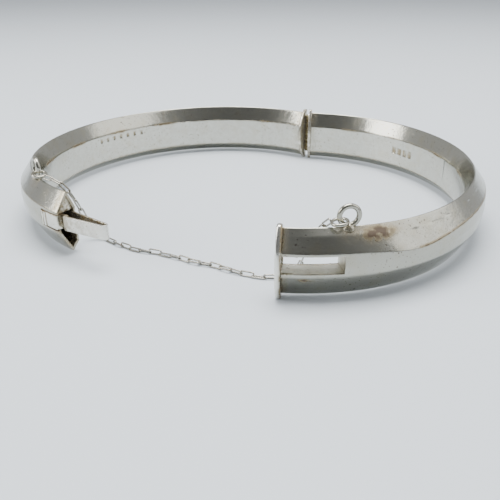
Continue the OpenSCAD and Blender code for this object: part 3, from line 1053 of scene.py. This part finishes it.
def make_tongue(material, web_metal):
    run = FOLD - SHOULDER
    slope = atan2(run.y, run.x) + asin(FOLD_R / run.length)
    down, off = Vector((cos(slope), sin(slope))), Vector((-sin(slope), cos(slope)))
    turn = [radians(90) + slope + (radians(-68) - radians(90) - slope) * i / 20 for i in range(21)]
    outer = [FOLD + FOLD_R * Vector((cos(a), sin(a))) for a in turn]
    inner = [FOLD + (FOLD_R - LEAF) * Vector((cos(a), sin(a))) for a in turn[::-1]]
    back = SHOULDER - LEAF * off + 0.35 * MM * down
    leaf = [Vector((-0.3 * MM, NECK_U)), Vector((SHOULDER.x, NECK_U)), SHOULDER, *outer, *inner, back,
            Vector((SHOULDER.x + 0.35 * MM, NECK_U - 0.4 * MM)), Vector((-0.3 * MM, NECK_U - 0.4 * MM))]

    # Painted shade on the leaf's face towards the blade; the leaf is also painted darker towards its neck.
    def leaf_shade_and_tarnish(x, u):
        point = Vector((x, u))
        depth = FOLD_R - (point - FOLD).length if x > FOLD.x else (SHOULDER - point).dot(off)
        return max(0.45 * smoothstep(0.4 * LEAF, 0.9 * LEAF, depth),
                   0.35 * smoothstep(2 * MM, 0.3 * MM, x), 0.05)

    tongue_solid("tongue_spring_leaf", leaf, 0.06 * MM, leaf_shade_and_tarnish, material, "snap_leaf", "snap_leaf")
    low = FOLD.y - FOLD_R
    blade = [(-2 * MM, low), (FOLD.x, low), (FOLD.x, low + LEAF), (-2 * MM, low + LEAF)]
    # Painted shade: the blade's face towards the leaf is painted darker.
    tongue_solid("tongue_inner_blade", blade, 0.06 * MM, lambda x, u: 0.45 if u > low + LEAF / 2 else 0.08,
                 material, "tongue_half", "tongue_blade")
    make_thumb_piece(material)
    web = [(-0.88, 6.65), (1.68, 6.65), (1.6, 6.95), (0.02, 9.25), (-0.1, 9.25), (-0.88, 7.4)]
    plate = prism("tongue_end_closing_web", [(u * MM, z * MM) for u, z in web], across_clasp,
                  0.35 * MM, 0.75 * MM)
    soften(plate, 0.06 * MM, 2, 40)
    paint(plate, lambda s, u, z: 0.25)
    settle(plate, TONGUE, web_metal, "tongue_half", "solder", "tongue_end_web")


def make_thumb_piece(material):
    """The block that fills the notch, with two ribs to press on."""
    low, high = MIDDLE - TONGUE_H / 2, MIDDLE + TONGUE_H / 2
    end = NOTCH - 0.15 * MM
    r = 0.12 * MM
    corners = [(0.75 * MM, low), (BULGE_OUT, low), (BULGE_OUT + 0.08 * MM, MIDDLE), (BULGE_OUT, high),
               (0.75 * MM, high)]
    body = sweep("thumb_block", lambda s: rounded(corners, [0, r, 2 * MM, r, 0], steps=4),
                 s_at(0.3 * MM), s_at(end), 0.25 * MM)
    soften(body, 0.06 * MM, 2, 60)
    parts = [body]
    for share in (0.78, 0.93):
        s = END_R * asin(share * end / END_R)
        outline = rounded([(0, low), (0.22 * MM, low), (0.22 * MM, high), (0, high)],
                          [0, 0.12 * MM, 0.12 * MM, 0], closed=False)
        foot = on_band(s, BULGE_OUT, 0)
        outline = [(max(q.x, 0.01 * MM), q.y) for q in outline]
        parts.append(lathe("rib", outline, Matrix.Translation(foot), 20))
    whole = join("tongue_thumb_piece", parts)

    # Painted shade: the block's top and bottom faces in the gap against the notch, strips beside the ribs,
    # and the faces set further in are painted dark.
    def tarnish_and_shade(s, u, z):
        sides = smoothstep(TONGUE_H / 2 - 0.06 * MM, TONGUE_H / 2, abs(z - MIDDLE))
        valley = max(exp(-(((s - share * end) / (0.12 * MM)) ** 2)) for share in (0.7, 0.86))
        return max(sides, 0.7 * valley, 0.3 * smoothstep(1.9 * MM, 1.2 * MM, u), 0.08)

    paint(whole, tarnish_and_shade)
    settle(whole, TONGUE, material, "snap_leaf", "silver", "thumb_piece")


# ---- stage ----

FLOOR_REACH = 1.5                  # metres each way


def make_stage():
    """A plain pale floor and plain soft light from above."""
    ends = (-FLOOR_REACH, FLOOR_REACH)
    floor = grid("floor", [[Vector((x, y, 0)) for x in ends] for y in ends])
    floor.data.materials.append(plain("pale_floor", (0.575, 0.62, 0.66, 1)))
    area("top_light", (-0.02, 0.05, 0.42), (0, 0, 0), 0.34, 0.30, 4.0)
    area("left_light", (-0.42, -0.12, 0.22), (0, 0, 0.01), 0.22, 0.26, 1.5)
    area("right_light", (0.40, 0.02, 0.30), (0, 0, 0.01), 0.40, 0.40, 1.0)
    make_world()


def make_world():
    """A plain pale room that is softly dimmer in front."""
    world = bpy.data.worlds.new("studio")
    bpy.context.scene.world = world
    world.use_nodes = True
    tree = world.node_tree
    place = tree.nodes.new("ShaderNodeTexCoord")
    split = tree.nodes.new("ShaderNodeSeparateXYZ")
    fade = tree.nodes.new("ShaderNodeMapRange")
    fade.interpolation_type = "SMOOTHSTEP"
    for key, value in {"From Min": -0.95, "From Max": 0.1, "To Min": 0.2, "To Max": 0.72}.items():
        fade.inputs[key].default_value = value
    background = tree.nodes["Background"]
    background.inputs["Color"].default_value = (0.95, 0.97, 1.0, 1)
    tree.links.new(place.outputs["Generated"], split.inputs[0])
    tree.links.new(split.outputs["Y"], fade.inputs["Value"])
    tree.links.new(fade.outputs[0], background.inputs["Strength"])


def area(name, where, towards, width, height, power):
    data = bpy.data.lights.new(name, "AREA")
    data.shape = "RECTANGLE"
    data.size = width
    data.size_y = height
    data.energy = power
    lamp = bpy.data.objects.new(name, data)
    lamp.location = where
    lamp.rotation_euler = (Vector(towards) - Vector(where)).to_track_quat("-Z", "Y").to_euler()
    bpy.context.scene.collection.objects.link(lamp)


# ---- everything ----

make_camera()
SILVER = silver("worn_silver", (0.39, 0.385, 0.335, 1), (0.10, 0.07, 0.045, 1))
LINING = silver("lining_silver", (0.55, 0.545, 0.49, 1), (0.12, 0.08, 0.045, 1), wear=0.7, shine=0.15)
BRIGHT = silver("bright_silver", (0.74, 0.735, 0.68, 1), (0.20, 0.13, 0.06, 1), wear=0.8, shine=0.14)
BOX = silver("box_silver", (0.72, 0.71, 0.63, 1), (0.12, 0.08, 0.045, 1), shine=0.42)
CHAIN = silver("chain_silver", (0.38, 0.365, 0.32, 1), (0.10, 0.07, 0.05, 1), shine=0.24)
HINGE_METAL = solder("hinge_metal", (0.52, 0.45, 0.28, 1), (0.13, 0.09, 0.04, 1))
WEB_METAL = solder("web_metal", (0.76, 0.73, 0.64, 1), (0.36, 0.29, 0.18, 1))
make_chain(CHAIN)
for half in ("catch", "tongue"):
    make_shell(half, SILVER)
    make_lining(half, LINING)
    make_eye_and_ring(half, SILVER)
make_mouth_plate(BRIGHT)
make_hinge_plates(BRIGHT)
make_knuckles(HINGE_METAL, BRIGHT)
make_box(BOX)
make_tongue(BRIGHT, WEB_METAL)
make_stage()

bpy.context.view_layer.update()
